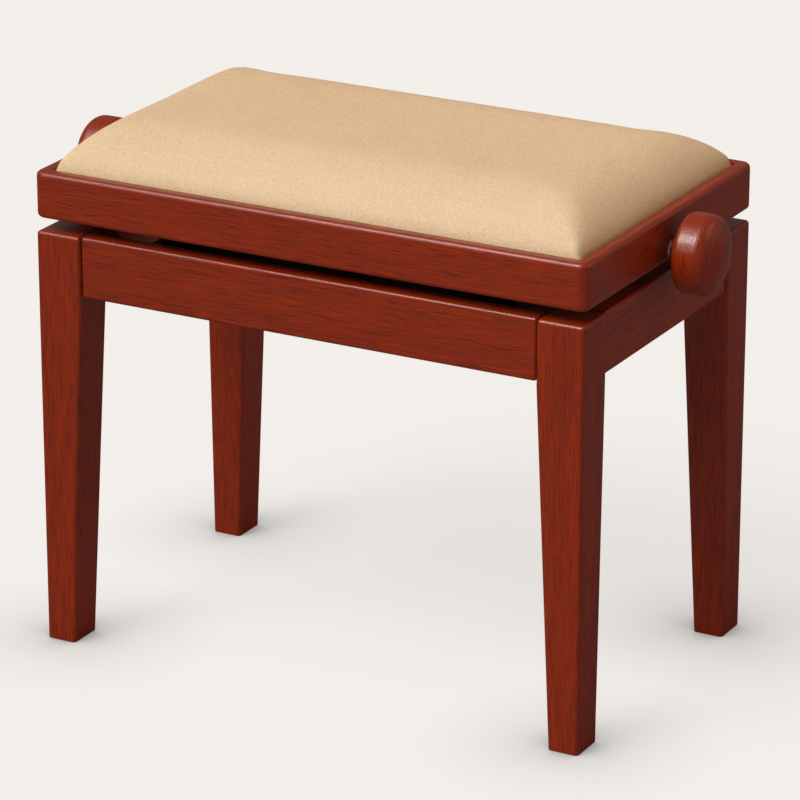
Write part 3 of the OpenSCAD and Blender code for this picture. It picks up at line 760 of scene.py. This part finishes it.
spindle_bm = bmesh.new()
turned_on_x(spindle_bm, [
    (spindle_low.x, 0), (spindle_low.x, spindle_r - END_CHAMFER),
    (spindle_low.x + END_CHAMFER, spindle_r),
    (THREAD_START, spindle_r), (THREAD_START + THREAD_DEPTH, thread_root),
    (thread_end - THREAD_DEPTH, thread_root), (thread_end, spindle_r),
    (spindle_high.x - END_CHAMFER, spindle_r), (spindle_high.x, spindle_r - END_CHAMFER),
    (spindle_high.x, 0)], spindle_z, SPINDLE_SIDES)
crest_r = spindle_r - THREAD_PLAY
ridge = [(0.0, thread_root - THREAD_SUNK), (THREAD_FLANK, crest_r),
         (THREAD_FLANK + THREAD_CREST, crest_r),
         (2 * THREAD_FLANK + THREAD_CREST, thread_root - THREAD_SUNK)]
ridge_verts = [spindle_bm.verts.new((THREAD_START + x, 0, spindle_z + r)) for x, r in ridge]
ridge_face = spindle_bm.faces.new(ridge_verts)
ridge_steps = (THREAD_TURNS - 1) * THREAD_STEPS
ridge_last = bmesh.ops.spin(
    spindle_bm, geom=ridge_face.edges[:] + ridge_verts, cent=(0, 0, spindle_z), axis=(1, 0, 0),
    angle=2 * math.pi * (THREAD_TURNS - 1), dvec=(THREAD_PITCH / THREAD_STEPS, 0, 0),
    steps=ridge_steps)["geom_last"]
bmesh.ops.contextual_create(
    spindle_bm, geom=[part for part in ridge_last if isinstance(part, bmesh.types.BMEdge)])
bmesh.ops.recalc_face_normals(spindle_bm, faces=spindle_bm.faces)
finish_piece("spindle_rod", spindle_bm, zinc, "spindle", "zinc_hardware", "spindle")
softened_copy("spindle_bushes", BUSH_EDGE, nylon, "seat", "nylon", 2, PRESSED_ANGLE)
softened_copy("spindle_collars", 0.0008, zinc, "spindle", "zinc_hardware", 2, PRESSED_ANGLE)


# ------------------------------------------------------------------ knobs
# Two knobs turned from the same stained wood: a short neck, a fat round rim and a gently
# domed face. Each is fixed on the spindle's end by a grub screw in its neck.

KNOB_SIDES = 96
NECK_RADIUS = 0.013
KNOB_BACK = 0.0066
KNOB_FRONT = 0.011
KNOB_DOME = 0.070
NECK_LENGTH = 0.0113
NECK_EDGE = 0.001
NECK_COVE = 0.002


def arc_points(centre_x, centre_r, radius, first, last, steps):
    """Points along an arc in the (x, radius) plane, by angle from the +X direction."""
    angles = [first + (last - first) * step / steps for step in range(steps + 1)]
    return [(centre_x + radius * math.cos(a), centre_r + radius * math.sin(a)) for a in angles]


def turned_knob(node, side, shift):
    """Turns a knob's outline, from its neck to the middle of its face, on the spindle's line."""
    low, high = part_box(node)
    radius = (high.z - low.z) / 2
    neck_x = min(abs(low.x), abs(high.x))
    back_x = neck_x + NECK_LENGTH
    face_x = max(abs(low.x), abs(high.x))
    dome_x = face_x - KNOB_DOME
    reach = KNOB_DOME - KNOB_FRONT
    front_x = dome_x + math.sqrt(reach ** 2 - (radius - KNOB_FRONT) ** 2)
    tilt = math.atan2(radius - KNOB_FRONT, front_x - dome_x)
    outline = [(neck_x, 0), (neck_x, NECK_RADIUS - NECK_EDGE), (neck_x + NECK_EDGE, NECK_RADIUS)]
    outline += arc_points(back_x - NECK_COVE, NECK_RADIUS + NECK_COVE, NECK_COVE, -math.pi / 2, 0, 4)
    outline += arc_points(back_x + KNOB_BACK, radius - KNOB_BACK, KNOB_BACK, math.pi, math.pi / 2, 10)
    outline += arc_points(front_x, radius - KNOB_FRONT, KNOB_FRONT, math.pi / 2, tilt, 12)
    outline += arc_points(dome_x, 0, KNOB_DOME, tilt, 0, 12)[1:]
    outline[-1] = (face_x, 0)
    bm = bmesh.new()
    turned_on_x(bm, [(side * x, r) for x, r in outline], (low.z + high.z) / 2, KNOB_SIDES)
    return finish_piece(f"{node}_turned", bm, mahogany("z", shift), "spindle", "mahogany", node)


turned_knob("knob_left", -1, 7.13)
turned_knob("knob_right", 1, 7.97)
softened_copy("knob_grub_screws", 0.0004, zinc, "spindle", "zinc_hardware", 2, FASTENER_ANGLE)


# ------------------------------------------------------------------ studio
# A pale seamless floor whose glow is darkened near the feet into a painted contact shadow, a soft light
# high at the front left made of a narrow and a wide one, a faint warm light from the back right, and
# dim even light from all round. The camera stands to the front right, a little above the seat.

FLOOR_GLOW = 0.725
FLOOR_BOUNCE = 0.22
FLOOR_MIRROR = 0.05
# How far from the bench, and how deeply, the painted contact shadow darkens the floor's glow.
PAINTED_SHADOW_REACH = 0.13
PAINTED_SHADOW_DEPTH = 1.25
KEY_FROM = Vector((-0.55, -1.10, 1.55))
KEY_TINT = (1.0, 0.975, 0.94)
FILL_FROM = Vector((1.5, 0.9, 0.9))
FILL_TINT = (1.0, 0.62, 0.38)
ROOM_LIGHT = 0.24
ROOM_MIRROR = 0.15
ROOM_SEEN = 0.88
ROOM_WHITE = (1.0, 0.985, 0.965, 1)
ROOM_WARM = (1.0, 0.54, 0.31, 1)

floor_bm = bmesh.new()
bmesh.ops.create_grid(floor_bm, x_segments=8, y_segments=8, size=14)
floor_mesh = bpy.data.meshes.new("studio_floor")
floor_bm.to_mesh(floor_mesh)
floor_bm.free()
floor = bpy.data.objects.new("studio_floor", floor_mesh)
bpy.context.scene.collection.objects.link(floor)
paper, paper_tree, paper_shader, paper_position = new_material("pale_paper")
paper_tone = ramp(paper_tree, noise(paper_tree, paper_position, (3, 3, 3), 2.0), 0.3, 0.7)
paper_colour = mix_colours(paper_tree, paper_tone, (0.157, 0.157, 0.156, 1), (0.163, 0.163, 0.162, 1))
paper_shader.inputs["Roughness"].default_value = 0.9
paper_shader.inputs["Specular IOR Level"].default_value = 0.0
paper_rays = make_node(paper_tree, "ShaderNodeLightPath")
paper_tree.links.new(mix_colours(paper_tree, paper_rays.outputs["Is Glossy Ray"], paper_colour,
                                 (0.04, 0.04, 0.04, 1)), paper_shader.inputs["Base Color"])
seen_glow = ramp(paper_tree, paper_rays.outputs["Is Diffuse Ray"], 0, 1, FLOOR_GLOW, FLOOR_BOUNCE)
mirror_share = ramp(paper_tree, paper_rays.outputs["Is Glossy Ray"], 0, 1, 1, FLOOR_MIRROR)
# Painted contact shadow: an ambient-occlusion term darkens the floor's glow near the feet and under the
# bench, where shade falls.
paper_painted_shadow_ao = make_node(paper_tree, "ShaderNodeAmbientOcclusion", {"Distance": PAINTED_SHADOW_REACH},
                          samples=8)
contact_shade = math_node(paper_tree, "POWER", paper_painted_shadow_ao.outputs["AO"], PAINTED_SHADOW_DEPTH)
seen_glow = math_node(paper_tree, "MULTIPLY", seen_glow, contact_shade)
paper_tree.links.new(math_node(paper_tree, "MULTIPLY", seen_glow, mirror_share),
                     paper_shader.inputs["Emission Strength"])
paper_shader.inputs["Emission Color"].default_value = (1.0, 0.980, 0.955, 1)
floor_mesh.materials.append(paper)


def soft_sun(name, power, softness, came_from, tint):
    data = bpy.data.lights.new(name, "SUN")
    data.energy = power
    data.angle = math.radians(softness)
    data.color = tint
    light = bpy.data.objects.new(name, data)
    light.rotation_euler = came_from.to_track_quat("Z", "Y").to_euler()
    bpy.context.scene.collection.objects.link(light)


soft_sun("key_core", 1.7, 26, KEY_FROM, KEY_TINT)
soft_sun("key_wide", 1.5, 66, KEY_FROM, KEY_TINT)
soft_sun("rim_fill", 0.33, 40, FILL_FROM, FILL_TINT)

world = bpy.data.worlds.new("studio")
world.use_nodes = True
bpy.context.scene.world = world
world_tree = world.node_tree
room = world_tree.nodes["Background"]
rays = make_node(world_tree, "ShaderNodeLightPath")
world_tree.links.new(mix_colours(world_tree, rays.outputs["Is Diffuse Ray"], ROOM_WHITE, ROOM_WARM),
                     room.inputs["Color"])
room_seen = ramp(world_tree, rays.outputs["Is Glossy Ray"], 0, 1, ROOM_SEEN, ROOM_MIRROR)
room_lit = ramp(world_tree, rays.outputs["Is Diffuse Ray"], 0, 1, 0, ROOM_LIGHT - ROOM_SEEN)
world_tree.links.new(math_node(world_tree, "ADD", room_seen, room_lit), room.inputs["Strength"])

camera_data = bpy.data.cameras.new("camera")
camera_data.sensor_width = 36
camera_data.lens = 202.5
camera_data.clip_start = 0.1
camera_data.clip_end = 60
camera = bpy.data.objects.new("camera", camera_data)
camera.location = (1.8798, -3.4228, 1.6762)
camera.rotation_euler = (math.radians(90 - 20.3), 0, math.radians(28.7))
bpy.context.scene.collection.objects.link(camera)
bpy.context.scene.camera = camera
bpy.context.scene.view_settings.view_transform = "Standard"
